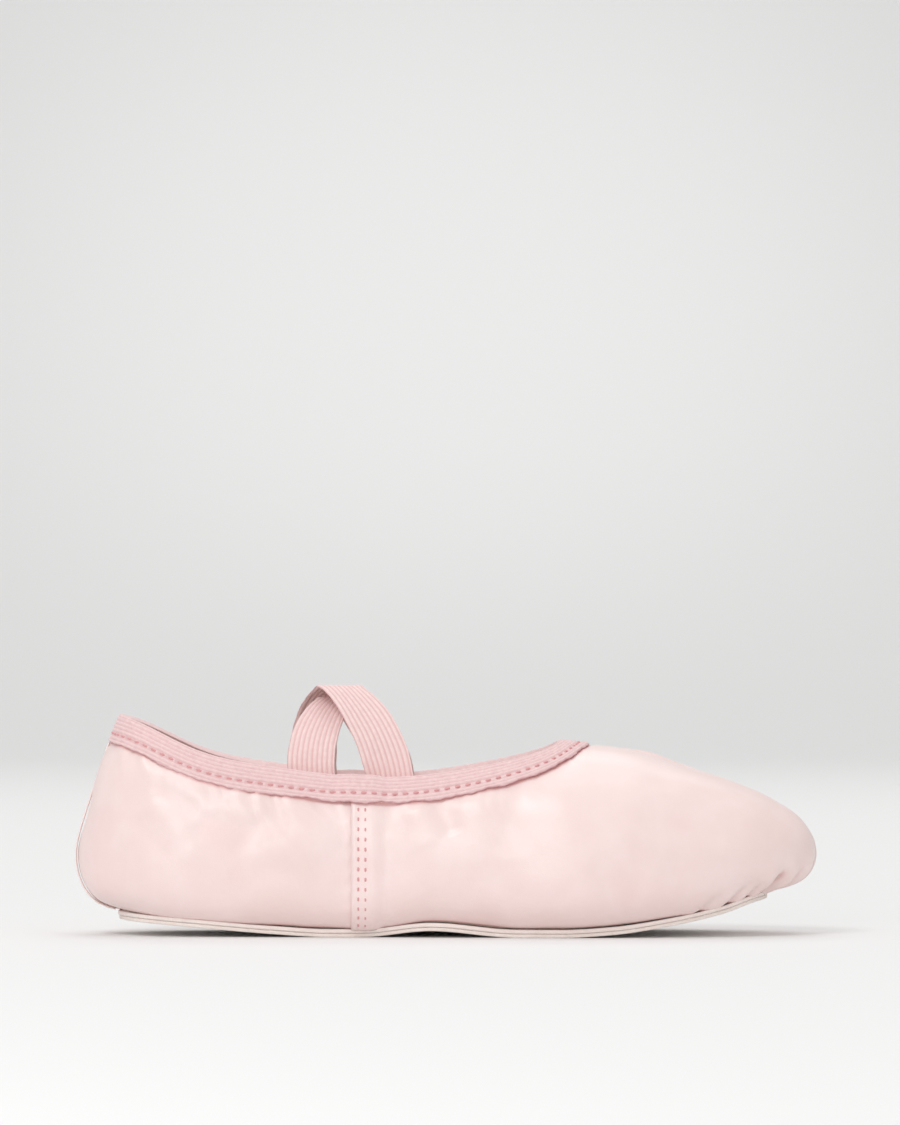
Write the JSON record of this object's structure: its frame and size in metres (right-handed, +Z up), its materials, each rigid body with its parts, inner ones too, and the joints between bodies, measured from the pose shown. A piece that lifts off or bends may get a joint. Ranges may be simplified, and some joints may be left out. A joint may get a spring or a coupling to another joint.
{
  "type": "ballet slipper",
  "caption": "Soft low ballet slipper with a rounded toe, ribbed elastic edging and elastic straps that cross over the instep.",
  "frame": {"origin": "on the ground, below the middle of the slipper's length and width", "axes": "+X towards the toe, +Y to the slipper's left side, +Z up; the slipper lies along X"},
  "size_m": [0.2359, 0.078, 0.0796],
  "materials": {
    "upper_leather": "pale pink soft leather with a low satin sheen and fine grain",
    "lining": "plain woven cotton lining, matt",
    "binding_elastic": "ribbed pink elastic, matt with a faint sheen on the ribs",
    "strap_elastic": "ribbed pink elastic webbing, matt",
    "thread": "dark rose sewing thread",
    "piping": "narrow pink leather strip",
    "outsole_suede": "beige pink suede, napped and matt",
    "midsole_board": "pink beige leather board",
    "foam": "soft latex foam",
    "sock_fabric": "brushed cotton sock"
  },
  "bodies": {
    "slipper": {"vamp": "upper_leather", "quarter_right": "upper_leather", "quarter_left": "upper_leather", "vamp_lining": "lining", "quarter_lining_right": "lining", "quarter_lining_left": "lining", "topline_binding": "binding_elastic", "back_seam_piping": "piping", "back_seam_tape": "lining", "outsole": "outsole_suede", "midsole": "midsole_board", "insole_foam": "foam", "sock_liner": "sock_fabric", "binding_thread": "thread", "side_seam_thread_right": "thread", "side_seam_thread_left": "thread", "strap_over_ends": "strap_elastic", "strap_under_ends": "strap_elastic", "strap_over_thread": "thread", "strap_under_thread": "thread"},
    "strap_over": {"strap_over": "strap_elastic"},
    "strap_under": {"strap_under": "strap_elastic"}
  },
  "joints": [
    {"name": "strap_over_swing", "type": "hinge", "parent": "slipper", "child": "strap_over", "pos_m": [-0.01754, -0.0214, 0.04787], "axis": [-0.5093, 0.8598, 0.0372], "range_deg": [-12, 20], "stiffness_Nm_per_rad": 0.002},
    {"name": "strap_under_swing", "type": "hinge", "parent": "slipper", "child": "strap_under", "pos_m": [-0.04238, -0.02054, 0.04968], "axis": [0.5093, 0.8598, -0.0372], "range_deg": [-8, 20], "stiffness_Nm_per_rad": 0.002}
  ]
}
